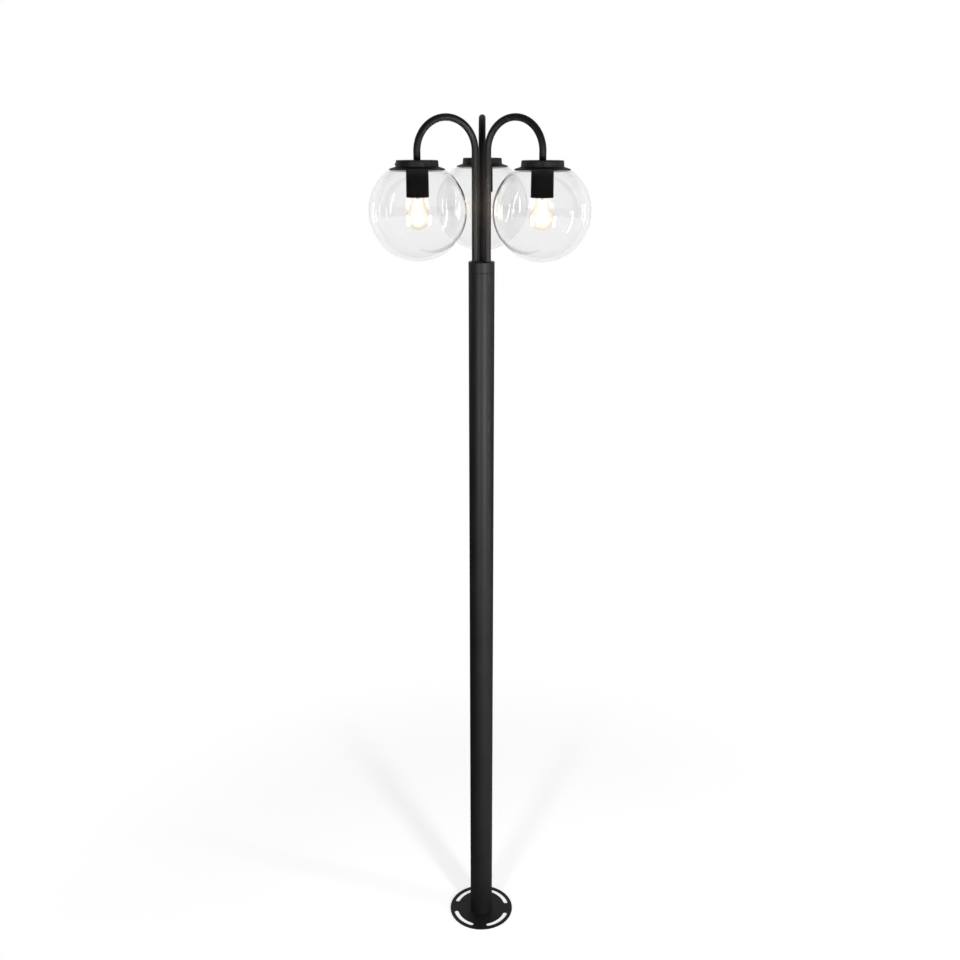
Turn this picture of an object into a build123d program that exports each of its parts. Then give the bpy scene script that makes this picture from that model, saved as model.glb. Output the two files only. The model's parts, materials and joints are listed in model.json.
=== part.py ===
from build123d import *
import os
from math import atan2, cos, degrees, radians, sin, sqrt, tan

# Outdoor post light: a round post on a bolted plate, with three swan-neck arms that each carry a
# clear glass globe. Lengths are in millimetres, +Z is up and the post stands on Z = 0.

# Clearances
press_gap = 0.05  # radial, pressed or threaded together
slip_gap = 0.1  # radial, pushed in or sliding
loose_gap = 0.3  # free of its neighbour

# Base plate
plate_diameter = 162.0
plate_thickness = 3.0
plate_edge_round = 0.6
slot_circle_diameter = 134.0
slot_width = 11.0
slot_sweep = 52.0  # degrees, between the centres of the round ends
slot_count = 4
cable_hole_diameter = 24.0

# Cable bush, pushed into the plate from below
bush_bore_diameter = 16.0
bush_flange_width = 4.0
bush_flange_height = 1.5
bush_rib_overhang = 0.8
bush_rib_height = 2.0

# Pole
pole_diameter = 56.0
pole_wall = 1.5
pole_length = 1659.0

# Head collar
collar_height = 22.0
collar_top_thickness = 4.0
collar_wall = 2.5
collar_edge_round = 0.6
seam_chamfer = 0.5
spigot_length = 45.0
spigot_wall = 4.0

# Grub screws that hold the collar in the pole
head_screw_diameter = 6.0
head_screw_length = 6.0
head_screw_drop = 14.0  # below the seam
head_screw_angles = (60.0, 120.0)
head_screw_point = 0.8
head_socket_width = 3.0
head_socket_depth = 2.5

# Arms
tube_diameter = 14.5
tube_wall = 1.2
leg_circle_radius = 15.0  # the three legs stand on this circle on the collar
arm_rise = 225.0  # from the collar to the start of the bend
bend_radius = 65.25
arm_drop = 17.0  # from the end of the bend to the lamp cap
lamp_names = ("back", "left", "right")  # evenly round the post, from the rear
rear_angle = 90.0  # degrees
arm_turns = {"back": 2.7, "left": 0.0, "right": 0.0}  # degrees, as each arm is clamped on its stud

# Hollow threaded studs, nuts and washers at both ends of the arms
stud_diameter = 10.0
stud_bore_diameter = 7.0
stud_plug_length = 12.0
stud_tail = 2.0  # past the nut, at the collar
nut_width = 14.0  # across the flats
nut_height = 4.0
nut_chamfer = 0.8
washer_diameter = 18.0
washer_thickness = 1.5

# Cables inside the arms
cable_diameter = 5.5

# Terminal block inside the collar
terminal_diameter = 40.0
terminal_height = 18.0
terminal_drop = 30.0  # below the collar's top plate
terminal_edge_round = 1.0
cable_port_depth = 5.0
wire_port_diameter = 4.0
wire_port_depth = 9.0
terminal_screw_diameter = 4.0
terminal_screw_length = 6.0
terminal_screw_slot = 0.8
rod_diameter = 5.0
rod_bite = 3.0  # into the collar's top plate
rod_tail = 3.0
rod_nut_width = 8.0
rod_nut_height = 4.0

# Lamp cap
drum_top_diameter = 85.2
drum_foot_diameter = 87.0
cap_wall = 1.2
cap_edge_round = 2.0
skirt_diameter = 113.0
skirt_root_round = 1.2
skirt_rim_round = 0.7

# Globe
globe_diameter = 200.0
glass_wall = 2.0
shoulder_diameter = 116.0  # where the ball turns into the flat shoulder under the skirt
shoulder_slope = 18.0  # degrees
shoulder_round = 20.0
neck_diameter = 78.0
neck_height = 9.6
neck_round = 1.5
lip_overhang = 1.4
lip_height = 2.2
lip_round = 0.6
seal_thickness = 1.6
seal_width = 4.2

# Screws that hold the globe
globe_screw_diameter = 4.0
globe_screw_length = 6.0
globe_screw_drop = 8.0  # below the top of the cap
globe_screw_count = 3
globe_screw_point = 0.6
globe_socket_width = 2.0
globe_socket_depth = 1.6
globe_screw_turns = {"left": 90.0, "right": -60.0, "back": -60.0}  # first screw, from the arm's way

# Lampholder
sleeve_top_diameter = 45.0
sleeve_foot_diameter = 46.2
sleeve_height = 70.8
sleeve_wall = 2.2
sleeve_top_thickness = 2.5
sleeve_edge_round = 1.0
core_diameter = 38.0
core_length = 54.0
core_entry_depth = 12.0
core_edge_round = 1.0
shell_inner_diameter = 27.2
shell_wall = 0.7
shell_length = 25.0
shell_inset = 1.0  # behind the core's mouth
contact_diameter = 4.0
contact_flange_diameter = 7.2
contact_flange_height = 2.5
contact_travel = 2.9
contact_guide_length = 8.0
contact_chamber_height = 7.0
contact_stand = 1.0  # the contact's face below the roof of the pocket, with the bulb in

# Bulb
bulb_diameter = 50.0
bulb_length = 100.0
bulb_glass_wall = 0.8
bulb_neck_diameter = 24.8
bulb_neck_rise = 40.0  # from the widest place to the straight neck
bulb_neck_insert = 4.0
bulb_cap_diameter = 26.2
bulb_cap_length = 26.0
bulb_cap_wall = 0.5
bulb_shell_length = 21.0
bulb_insulator_diameter = 16.0
bulb_tip_diameter = 9.2
bulb_tip_height = 2.5

# Stem and filaments inside the bulb
stem_length = 20.0
stem_flare_height = 1.5
stem_waist_diameter = 8.0
stem_waist_drop = 10.0
stem_foot_diameter = 5.0
lead_diameter = 0.8
bead_diameter = 3.2
bead_height = 1.6
filament_diameter = 1.8
filament_height = 44.0
filament_count = 4
filament_top_circle = 9.0
filament_foot_circle = 17.0

# Heights, spans and angles that follow from the sizes above
seam_z = plate_thickness + pole_length
collar_top_z = seam_z + collar_height
collar_plate_z = collar_top_z - collar_top_thickness
bend_z = collar_top_z + arm_rise
cap_top_z = bend_z - arm_drop
cap_ceiling_z = cap_top_z - cap_wall
lip_top_z = cap_ceiling_z - seal_thickness
arm_span = 2 * bend_radius
lamp_angles = {name: rear_angle + 360.0 * index / len(lamp_names) for index, name in enumerate(lamp_names)}
pole_inner_radius = pole_diameter / 2 - pole_wall
spigot_radius = pole_inner_radius - slip_gap
stud_radius = stud_diameter / 2
stud_hole_radius = stud_radius + slip_gap
thread_hole_radius = stud_radius + press_gap
cable_radius = cable_diameter / 2

# Terminal block heights
terminal_top_z = collar_plate_z - terminal_drop
terminal_foot_z = terminal_top_z - terminal_height

# Globe: the ball's centre follows from the neck, the flat shoulder and the radius of the ball
globe_radius = globe_diameter / 2
shoulder_radius = shoulder_diameter / 2
neck_radius = neck_diameter / 2
lip_radius = neck_radius + lip_overhang
shoulder_rate = tan(radians(shoulder_slope))
shoulder_height = sqrt(globe_radius**2 - shoulder_radius**2)
apex_height = shoulder_height + shoulder_radius * shoulder_rate  # of the shoulder's cone
neck_foot_height = apex_height - neck_radius * shoulder_rate
globe_z = lip_top_z - neck_height - neck_foot_height

# Lampholder and bulb heights
sleeve_foot_z = cap_ceiling_z - sleeve_height
core_top_z = cap_ceiling_z - sleeve_top_thickness - nut_height - loose_gap
core_foot_z = core_top_z - core_length
cap_stud_end_z = core_top_z - core_entry_depth
chamber_floor_z = cap_stud_end_z - contact_chamber_height
pocket_roof_z = chamber_floor_z - contact_guide_length
contact_face_z = pocket_roof_z - contact_stand
bulb_foot_z = contact_face_z - bulb_length
bulb_cap_foot_z = contact_face_z - bulb_cap_length
bulb_middle_z = bulb_foot_z + bulb_diameter / 2
bulb_neck_top_z = bulb_cap_foot_z + bulb_neck_insert


def turned(points):
    """A solid of revolution round Z from a closed outline of (radius, height) points."""
    outline = Polyline(*[(radius, 0, height) for radius, height in points], close=True)
    return revolve(make_face(outline), Axis.Z)


def tube(outer_radius, inner_radius, foot_z, top_z):
    """A plain ring or tube standing upright on the Z axis."""
    return turned(
        [(inner_radius, foot_z), (outer_radius, foot_z), (outer_radius, top_z), (inner_radius, top_z)]
    )


def bar(start, end, radius):
    """A plain round bar between two points."""
    axis = Vector(end) - Vector(start)
    return extrude(Plane(origin=start, z_dir=axis) * Circle(radius), axis.length)


def rims(solid, radius, height):
    """The round edges of a turned solid at one radius and height."""
    return [
        edge
        for edge in solid.edges().filter_by(GeomType.CIRCLE)
        if abs(edge.radius - radius) < 0.01 and abs(edge.arc_center.Z - height) < 0.01
    ]


def around(angle, radius=0.0):
    """A place at an angle round the post and a distance from its axis, turned to face outward."""
    return Rot(0, 0, angle) * Pos(radius, 0, 0)


def leg_place(name):
    """The place of an arm's leg on the collar, turned to face its lamp."""
    return around(lamp_angles[name], leg_circle_radius) * Rot(0, 0, arm_turns[name])


def lamp_place(name):
    """The place of a lamp's axis at the end of its arm."""
    return leg_place(name) * Pos(arm_span, 0, 0)


def even_angles(count, first=0.0):
    """Evenly spread angles round a full turn."""
    return [first + 360.0 * index / count for index in range(count)]


def hex_nut(width, height, bore_radius, foot_z):
    """A hexagon nut with the corners of both faces turned off, standing on foot_z."""
    corner_radius = width / sqrt(3)
    face_radius = corner_radius - nut_chamfer
    bevel = nut_chamfer * tan(radians(30))
    blank = extrude(Pos(0, 0, foot_z) * RegularPolygon(corner_radius, 6), height)
    envelope = turned(
        [
            (bore_radius, foot_z),
            (face_radius, foot_z),
            (corner_radius, foot_z + bevel),
            (corner_radius, foot_z + height - bevel),
            (face_radius, foot_z + height),
            (bore_radius, foot_z + height),
        ]
    )
    return blank & envelope


def grub_screw(diameter, length, point, socket_width, socket_depth):
    """A headless screw along +X with its point at the origin and a hexagon socket in its outer end."""
    radius = diameter / 2
    body = turned([(0, 0), (radius - point, 0), (radius, point), (radius, length), (0, length)])
    socket = Pos(0, 0, length - socket_depth) * extrude(
        RegularPolygon(socket_width / sqrt(3), 6), socket_depth
    )
    return Rot(0, 90, 0) * (body - socket)


def hollow_stud(plug_radius, plug_foot_z, plug_top_z, thread_z):
    """A bored stud: a wide plug for the arm tube and a narrower thread that ends at thread_z."""
    bore_radius = stud_bore_diameter / 2
    return turned(
        [
            (bore_radius, thread_z),
            (stud_radius, thread_z),
            (stud_radius, plug_foot_z),
            (plug_radius, plug_foot_z),
            (plug_radius, plug_top_z),
            (bore_radius, plug_top_z),
        ]
    )


def base_plate():
    """The round plate with its arc slots and the stepped hole for the cable bush."""
    hole_radius = cable_hole_diameter / 2
    recess_radius = hole_radius + bush_flange_width + slip_gap
    plate = turned(
        [
            (recess_radius, 0),
            (plate_diameter / 2, 0),
            (plate_diameter / 2, plate_thickness),
            (hole_radius, plate_thickness),
            (hole_radius, bush_flange_height),
            (recess_radius, bush_flange_height),
        ]
    )
    edges = rims(plate, plate_diameter / 2, 0) + rims(plate, plate_diameter / 2, plate_thickness)
    plate = fillet(edges, plate_edge_round)
    slot_path = CenterArc((0, 0), slot_circle_diameter / 2, -slot_sweep / 2, slot_sweep)
    slot = extrude(SlotArc(slot_path, slot_width), plate_thickness)
    for angle in even_angles(slot_count, 180.0 / slot_count):
        plate -= around(angle) * slot
    return plate


def cable_bush():
    """The soft bush: a flange flush with the underside and a snap rib above the plate."""
    body_radius = cable_hole_diameter / 2 - slip_gap
    flange_radius = cable_hole_diameter / 2 + bush_flange_width
    rib_radius = cable_hole_diameter / 2 + bush_rib_overhang
    bore_radius = bush_bore_diameter / 2
    return turned(
        [
            (bore_radius, 0),
            (flange_radius, 0),
            (flange_radius, bush_flange_height),
            (body_radius, bush_flange_height),
            (body_radius, plate_thickness),
            (rib_radius, plate_thickness),
            (body_radius, plate_thickness + bush_rib_height),
            (bore_radius, plate_thickness + bush_rib_height),
        ]
    )


def head_screw_holes():
    """The holes for the grub screws that hold the collar in the pole."""
    hole = bar((0, 0, 0), (pole_diameter, 0, 0), head_screw_diameter / 2 + press_gap)
    return [Pos(0, 0, seam_z - head_screw_drop) * around(angle) * hole for angle in head_screw_angles]


def pole_tube():
    """The post's tube, with a fine bevel at the seam."""
    body = tube(pole_diameter / 2, pole_inner_radius, plate_thickness, seam_z)
    body = chamfer(rims(body, pole_diameter / 2, seam_z), seam_chamfer)
    for hole in head_screw_holes():
        body -= hole
    return body


def head_collar():
    """The flush collar with its flat top, its spigot inside the pole and the holes for the arms."""
    outer_radius = pole_diameter / 2
    spigot_inner_radius = spigot_radius - spigot_wall
    collar_inner_radius = outer_radius - collar_wall
    body = turned(
        [
            (0, collar_top_z),
            (outer_radius, collar_top_z),
            (outer_radius, seam_z),
            (spigot_radius, seam_z),
            (spigot_radius, seam_z - spigot_length),
            (spigot_inner_radius, seam_z - spigot_length),
            (spigot_inner_radius, seam_z),
            (collar_inner_radius, seam_z + collar_wall),
            (collar_inner_radius, collar_plate_z),
            (0, collar_plate_z),
        ]
    )
    body = fillet(rims(body, outer_radius, collar_top_z), collar_edge_round)
    body = chamfer(rims(body, outer_radius, seam_z), seam_chamfer)
    for angle in lamp_angles.values():
        body -= around(angle, leg_circle_radius) * bar(
            (0, 0, collar_plate_z), (0, 0, collar_top_z), stud_hole_radius
        )
    body -= bar((0, 0, collar_plate_z), (0, 0, collar_plate_z + rod_bite), rod_diameter / 2 + press_gap)
    for hole in head_screw_holes():
        body -= hole
    return body


def head_screws():
    """The two grub screws at the rear, flush with the pole."""
    screw = grub_screw(
        head_screw_diameter, head_screw_length, head_screw_point, head_socket_width, head_socket_depth
    )
    start = pole_diameter / 2 - head_screw_length
    height = seam_z - head_screw_drop
    return [Pos(0, 0, height) * around(angle, start) * screw for angle in head_screw_angles]


def terminal_rod():
    """The threaded rod that hangs the terminal block under the collar's top plate."""
    foot_z = terminal_foot_z - rod_nut_height - rod_tail
    return bar((0, 0, foot_z), (0, 0, collar_plate_z + rod_bite), rod_diameter / 2)


def terminal_nuts():
    """The two nuts that clamp the terminal block on its rod."""
    bore_radius = rod_diameter / 2 + press_gap
    return [
        hex_nut(rod_nut_width, rod_nut_height, bore_radius, foot_z)
        for foot_z in (terminal_top_z, terminal_foot_z - rod_nut_height)
    ]


def terminal_block():
    """The round terminal block: arm cables go in on top, supply wires and screws from below."""
    body = tube(terminal_diameter / 2, rod_diameter / 2 + slip_gap, terminal_foot_z, terminal_top_z)
    edges = rims(body, terminal_diameter / 2, terminal_top_z)
    edges += rims(body, terminal_diameter / 2, terminal_foot_z)
    body = fillet(edges, terminal_edge_round)
    cable_port = bar(
        (0, 0, terminal_top_z - cable_port_depth), (0, 0, terminal_top_z), cable_radius + slip_gap
    )
    screw_hole = bar(
        (0, 0, terminal_foot_z),
        (0, 0, terminal_foot_z + terminal_screw_length),
        terminal_screw_diameter / 2 + press_gap,
    )
    wire_port = bar(
        (0, 0, terminal_foot_z), (0, 0, terminal_foot_z + wire_port_depth), wire_port_diameter / 2
    )
    half_pitch = 180.0 / len(lamp_angles)
    for angle in lamp_angles.values():
        body -= around(angle, leg_circle_radius) * cable_port
        body -= around(angle, leg_circle_radius) * screw_hole
        body -= around(angle + half_pitch, leg_circle_radius) * wire_port
    return body


def terminal_screws():
    """The slotted terminal screws, flush with the underside of the terminal block."""
    radius = terminal_screw_diameter / 2
    screw = bar((0, 0, terminal_foot_z), (0, 0, terminal_foot_z + terminal_screw_length), radius)
    slot = Box(terminal_screw_diameter, terminal_screw_slot, 2 * terminal_screw_slot)
    screw -= Pos(0, 0, terminal_foot_z) * slot
    return [around(angle, leg_circle_radius) * screw for angle in lamp_angles.values()]


def arm_sweep(radius, leg_foot_z, lamp_end_z):
    """A round bar along the middle of an arm in the XZ plane: up the leg on Z, over the bend and down."""
    leg_foot = (0, 0, leg_foot_z)
    leg_top = (0, 0, bend_z)
    crown = (bend_radius, 0, bend_z + bend_radius)
    drop_top = (arm_span, 0, bend_z)
    path = Line(leg_foot, leg_top)
    path += ThreePointArc(leg_top, crown, drop_top)
    path += Line(drop_top, (arm_span, 0, lamp_end_z))
    return sweep(Plane(origin=leg_foot, z_dir=(0, 0, 1)) * Circle(radius), path=path)


def arm_tube():
    """One swan-neck tube from the collar to the lamp cap."""
    outer = arm_sweep(tube_diameter / 2, collar_top_z, cap_top_z)
    return outer - arm_sweep(tube_diameter / 2 - tube_wall, collar_top_z, cap_top_z)


def arm_cable():
    """One cable from its port in the terminal block through the arm to the lampholder."""
    return arm_sweep(cable_radius, terminal_top_z - cable_port_depth, cap_stud_end_z)


def arm_stud():
    """The stud in the lower end of an arm, through the collar's top plate."""
    plug_radius = tube_diameter / 2 - tube_wall - press_gap
    foot_z = collar_plate_z - washer_thickness - nut_height - stud_tail
    return hollow_stud(plug_radius, collar_top_z, collar_top_z + stud_plug_length, foot_z)


def arm_washer():
    """The washer under the collar's top plate."""
    return tube(washer_diameter / 2, stud_hole_radius, collar_plate_z - washer_thickness, collar_plate_z)


def arm_nut():
    """The nut that clamps an arm to the collar."""
    foot_z = collar_plate_z - washer_thickness - nut_height
    return hex_nut(nut_width, nut_height, thread_hole_radius, foot_z)


def cap_stud():
    """The stud in the upper end of an arm, down through the lamp cap into the lampholder."""
    plug_radius = tube_diameter / 2 - tube_wall - press_gap
    return hollow_stud(plug_radius, cap_top_z, cap_top_z + stud_plug_length, cap_stud_end_z)


def cap_nut():
    """The nut that clamps the lamp cap and the lampholder sleeve to the arm."""
    foot_z = cap_ceiling_z - sleeve_top_thickness - nut_height
    return hex_nut(nut_width, nut_height, thread_hole_radius, foot_z)


def lamp_cap(name):
    """The spun cap: a drafted drum with a skirt that follows the shoulder of the glass."""
    drum_top = drum_top_diameter / 2
    drum_foot = drum_foot_diameter / 2
    skirt_radius = skirt_diameter / 2
    thickness = cap_wall / cos(radians(shoulder_slope))

    def skirt_z(radius, lift):
        return globe_z + apex_height - radius * shoulder_rate + lift

    body = turned(
        [
            (stud_hole_radius, cap_top_z),
            (drum_top, cap_top_z),
            (drum_foot, skirt_z(drum_foot, loose_gap + thickness)),
            (skirt_radius, skirt_z(skirt_radius, loose_gap + thickness)),
            (skirt_radius, skirt_z(skirt_radius, loose_gap)),
            (drum_foot - cap_wall, skirt_z(drum_foot - cap_wall, loose_gap)),
            (drum_top - cap_wall, cap_ceiling_z),
            (stud_hole_radius, cap_ceiling_z),
        ]
    )
    body = fillet(rims(body, drum_top, cap_top_z), cap_edge_round)
    body = fillet(rims(body, drum_foot, skirt_z(drum_foot, loose_gap + thickness)), skirt_root_round)
    body = fillet(rims(body, skirt_radius, skirt_z(skirt_radius, loose_gap + thickness)), skirt_rim_round)
    hole = bar((0, 0, 0), (skirt_radius, 0, 0), globe_screw_diameter / 2 + slip_gap)
    for angle in even_angles(globe_screw_count, globe_screw_turns[name]):
        body -= Pos(0, 0, cap_top_z - globe_screw_drop) * around(angle) * hole
    return body


def globe_screw():
    """One grub screw along +X with its point at the neck of the glass, under the lip."""
    screw = grub_screw(
        globe_screw_diameter, globe_screw_length, globe_screw_point, globe_socket_width, globe_socket_depth
    )
    return Pos(neck_radius + slip_gap, 0, cap_top_z - globe_screw_drop) * screw


def globe_seal():
    """The flat ring seal between the glass lip and the cap."""
    return tube(lip_radius, lip_radius - seal_width, lip_top_z, cap_ceiling_z)


def ball_arc(radius, end_radius):
    """The outline of a ball, in the XZ plane, from its foot up to the circle of end_radius."""
    end_height = sqrt(radius**2 - end_radius**2)
    middle = radians((degrees(atan2(end_height, end_radius)) - 90.0) / 2)
    return ThreePointArc(
        (0, 0, globe_z - radius),
        (radius * cos(middle), 0, globe_z + radius * sin(middle)),
        (end_radius, 0, globe_z + end_height),
    )


def globe():
    """The blown globe: a ball with a flat shoulder and a short neck that ends in a lip."""
    inner_radius = globe_radius - glass_wall
    inner_apex = apex_height - glass_wall / cos(radians(shoulder_slope))
    slope_length = 1 + shoulder_rate**2
    half_sum = inner_apex * shoulder_rate / slope_length
    inner_shoulder = half_sum + sqrt(half_sum**2 - (inner_apex**2 - inner_radius**2) / slope_length)
    inner_shoulder_z = globe_z + sqrt(inner_radius**2 - inner_shoulder**2)
    inner_neck = neck_radius - glass_wall
    inner_neck_z = globe_z + inner_apex - inner_neck * shoulder_rate
    neck_foot_z = globe_z + neck_foot_height
    lip_foot_z = lip_top_z - lip_height
    rim = Polyline(
        (shoulder_radius, 0, globe_z + shoulder_height),
        (neck_radius, 0, neck_foot_z),
        (neck_radius, 0, lip_foot_z),
        (lip_radius, 0, lip_foot_z),
        (lip_radius, 0, lip_top_z),
        (inner_neck, 0, lip_top_z),
        (inner_neck, 0, inner_neck_z),
        (inner_shoulder, 0, inner_shoulder_z),
    )
    foot = Line((0, 0, globe_z - inner_radius), (0, 0, globe_z - globe_radius))
    outer_ball = ball_arc(globe_radius, shoulder_radius)
    inner_ball = ball_arc(inner_radius, inner_shoulder)
    glass = revolve(make_face(outer_ball + rim + inner_ball + foot), Axis.Z)
    glass = fillet(rims(glass, shoulder_radius, globe_z + shoulder_height), shoulder_round)
    glass = fillet(rims(glass, inner_shoulder, inner_shoulder_z), shoulder_round - glass_wall)
    glass = fillet(rims(glass, neck_radius, neck_foot_z), neck_round)
    lip_edges = rims(glass, lip_radius, lip_top_z) + rims(glass, lip_radius, lip_foot_z)
    return fillet(lip_edges, lip_round)


def holder_sleeve():
    """The lampholder's tapered sleeve, closed on top round the stud."""
    top_radius = sleeve_top_diameter / 2
    foot_radius = sleeve_foot_diameter / 2
    body = turned(
        [
            (stud_hole_radius, cap_ceiling_z),
            (top_radius, cap_ceiling_z),
            (foot_radius, sleeve_foot_z),
            (foot_radius - sleeve_wall, sleeve_foot_z),
            (top_radius - sleeve_wall, cap_ceiling_z - sleeve_top_thickness),
            (stud_hole_radius, cap_ceiling_z - sleeve_top_thickness),
        ]
    )
    return fillet(rims(body, foot_radius, sleeve_foot_z), sleeve_edge_round)


def holder_core():
    """The ceramic core: stud entry, chamber and guide of the contact, and the pocket of the shell."""
    pocket_radius = shell_inner_diameter / 2 + shell_wall + press_gap
    chamber_radius = contact_flange_diameter / 2 + loose_gap
    guide_radius = contact_diameter / 2 + slip_gap
    outer_radius = core_diameter / 2
    body = turned(
        [
            (thread_hole_radius, core_top_z),
            (outer_radius, core_top_z),
            (outer_radius, core_foot_z),
            (pocket_radius, core_foot_z),
            (pocket_radius, pocket_roof_z),
            (guide_radius, pocket_roof_z),
            (guide_radius, chamber_floor_z),
            (chamber_radius, chamber_floor_z),
            (chamber_radius, cap_stud_end_z),
            (thread_hole_radius, cap_stud_end_z),
        ]
    )
    edges = rims(body, outer_radius, core_top_z) + rims(body, outer_radius, core_foot_z)
    return fillet(edges, core_edge_round)


def holder_shell():
    """The threaded metal shell in the core's pocket."""
    inner_radius = shell_inner_diameter / 2
    foot_z = core_foot_z + shell_inset
    return tube(inner_radius + shell_wall, inner_radius, foot_z, foot_z + shell_length)


def holder_contact():
    """The sprung centre contact, pushed back by the bulb: a pin with a stop flange in the chamber."""
    flange_foot_z = chamber_floor_z + contact_travel
    pin = bar((0, 0, contact_face_z), (0, 0, flange_foot_z), contact_diameter / 2)
    flange = bar(
        (0, 0, flange_foot_z), (0, 0, flange_foot_z + contact_flange_height), contact_flange_diameter / 2
    )
    return pin + flange


def bulb_outline(inset):
    """The outline of the bulb glass in the XZ plane, set in by a wall, from its foot to its neck."""
    ball = bulb_diameter / 2
    neck = bulb_neck_diameter / 2
    waist = (neck**2 + bulb_neck_rise**2 - ball**2) / (2 * (ball - neck))
    touch = atan2(bulb_neck_rise, neck + waist)
    ball_middle = (touch - radians(90)) / 2
    waist_turn = (radians(180) + touch + radians(180)) / 2
    waist_x = neck + waist
    waist_z = bulb_middle_z + bulb_neck_rise
    ball_radius = ball - inset
    waist_radius = waist + inset
    ball_end = (ball_radius * cos(touch), 0, bulb_middle_z + ball_radius * sin(touch))
    neck_start = (neck - inset, 0, waist_z)
    foot = ThreePointArc(
        (0, 0, bulb_middle_z - ball_radius),
        (ball_radius * cos(ball_middle), 0, bulb_middle_z + ball_radius * sin(ball_middle)),
        ball_end,
    )
    flank = ThreePointArc(
        ball_end,
        (waist_x + waist_radius * cos(waist_turn), 0, waist_z + waist_radius * sin(waist_turn)),
        neck_start,
    )
    return foot + flank + Line(neck_start, (neck - inset, 0, bulb_neck_top_z))


def bulb_glass():
    """The pear-shaped bulb glass, open at its neck inside the cap."""
    neck = bulb_neck_diameter / 2
    top = Line((neck, 0, bulb_neck_top_z), (neck - bulb_glass_wall, 0, bulb_neck_top_z))
    foot = Line((0, 0, bulb_foot_z), (0, 0, bulb_foot_z + bulb_glass_wall))
    outline = bulb_outline(0) + top + bulb_outline(bulb_glass_wall) + foot
    return revolve(make_face(outline), Axis.Z)


def bulb_cap():
    """The screw cap of the bulb: its shell, the insulator's cone and the tip, hollow for the neck."""
    shell = bulb_cap_diameter / 2
    cavity = shell - bulb_cap_wall
    insulator = bulb_insulator_diameter / 2
    tip = bulb_tip_diameter / 2
    shell_top_z = bulb_cap_foot_z + bulb_shell_length
    tip_foot_z = contact_face_z - bulb_tip_height
    return turned(
        [
            (cavity, bulb_cap_foot_z),
            (shell, bulb_cap_foot_z),
            (shell, shell_top_z),
            (insulator, tip_foot_z),
            (tip, tip_foot_z),
            (tip, contact_face_z),
            (0, contact_face_z),
            (0, tip_foot_z - bulb_cap_wall),
            (insulator - bulb_cap_wall, tip_foot_z - bulb_cap_wall),
            (cavity, shell_top_z - bulb_cap_wall),
        ]
    )


def filament_mount():
    """The glass stem with its flare in the neck, the lead wires and the filaments."""
    flare = bulb_neck_diameter / 2 - bulb_glass_wall - press_gap
    waist = stem_waist_diameter / 2
    stem_foot = stem_foot_diameter / 2
    top_z = bulb_neck_top_z
    stem_foot_z = top_z - stem_length
    mount = turned(
        [
            (0, top_z),
            (flare, top_z),
            (flare, top_z - stem_flare_height),
            (waist, top_z - stem_waist_drop),
            (stem_foot, stem_foot_z),
            (0, stem_foot_z),
        ]
    )
    lead = lead_diameter / 2
    bead = bead_diameter / 2
    hub_z = stem_foot_z - bead_height / 2
    foot_z = hub_z - filament_height
    mount += bar((0, 0, foot_z), (0, 0, stem_foot_z), lead)
    for bead_z in (hub_z, foot_z):
        mount += bar((0, 0, bead_z - bead_height / 2), (0, 0, bead_z + bead_height / 2), bead)
    for angle in even_angles(filament_count, 180.0 / filament_count):
        way = Vector(cos(radians(angle)), sin(radians(angle)), 0)
        hub = Vector(0, 0, hub_z)
        foot = Vector(0, 0, foot_z)
        top_end = hub + way * (filament_top_circle / 2)
        foot_end = foot + way * (filament_foot_circle / 2)
        mount += bar(hub + way * (bead / 2), top_end, lead)
        mount += bar(foot + way * (bead / 2), foot_end, lead)
        mount += bar(top_end, foot_end, filament_diameter / 2)
    return mount


def save(name, shape):
    """Write one node's shape, or list of shapes, to its own file."""
    solids = shape if isinstance(shape, list) else [shape]
    node = solids[0] if len(solids) == 1 else Compound(solids)
    export_step(node, f"parts/{name}.step")


os.makedirs("parts", exist_ok=True)

# Post and head
save("base_plate", base_plate())
save("cable_bush", cable_bush())
save("pole_tube", pole_tube())
save("head_collar", head_collar())
save("head_screws", head_screws())
save("terminal_rod", terminal_rod())
save("terminal_nuts", terminal_nuts())
save("terminal_block", terminal_block())
save("terminal_screws", terminal_screws())

# Fasteners at the two ends of the arms
legs = [leg_place(name) for name in lamp_names]
lamps = [lamp_place(name) for name in lamp_names]
for name, fastener, places in (
    ("arm_studs", arm_stud(), legs),
    ("arm_washers", arm_washer(), legs),
    ("arm_nuts", arm_nut(), legs),
    ("cap_studs", cap_stud(), lamps),
    ("cap_nuts", cap_nut(), lamps),
):
    save(name, [place * fastener for place in places])

# Pieces that each arm repeats
arm_pieces = {"arm_tube": arm_tube(), "arm_cable": arm_cable()}
lamp_pieces = {
    "globe_seal": globe_seal(),
    "globe": globe(),
    "holder_sleeve": holder_sleeve(),
    "holder_core": holder_core(),
    "holder_shell": holder_shell(),
    "holder_contact": holder_contact(),
    "bulb_glass": bulb_glass(),
    "bulb_cap": bulb_cap(),
    "filament_mount": filament_mount(),
}
screw_piece = globe_screw()
for name in lamp_names:
    for piece, shape in arm_pieces.items():
        save(f"{piece}_{name}", leg_place(name) * shape)
    place = lamp_place(name)
    for piece, shape in lamp_pieces.items():
        save(f"{piece}_{name}", place * shape)
    save(f"lamp_cap_{name}", place * lamp_cap(name))
    for index, turn in enumerate(even_angles(globe_screw_count, globe_screw_turns[name]), start=1):
        save(f"globe_screw_{name}_{index}", place * around(turn) * screw_piece)
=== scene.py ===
"""Studio scene of an outdoor post light: a black post with three clear glass globes on swan-neck arms."""

import json
import logging
import math
from collections.abc import Callable
from dataclasses import dataclass
from enum import Enum
from typing import Any

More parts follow.
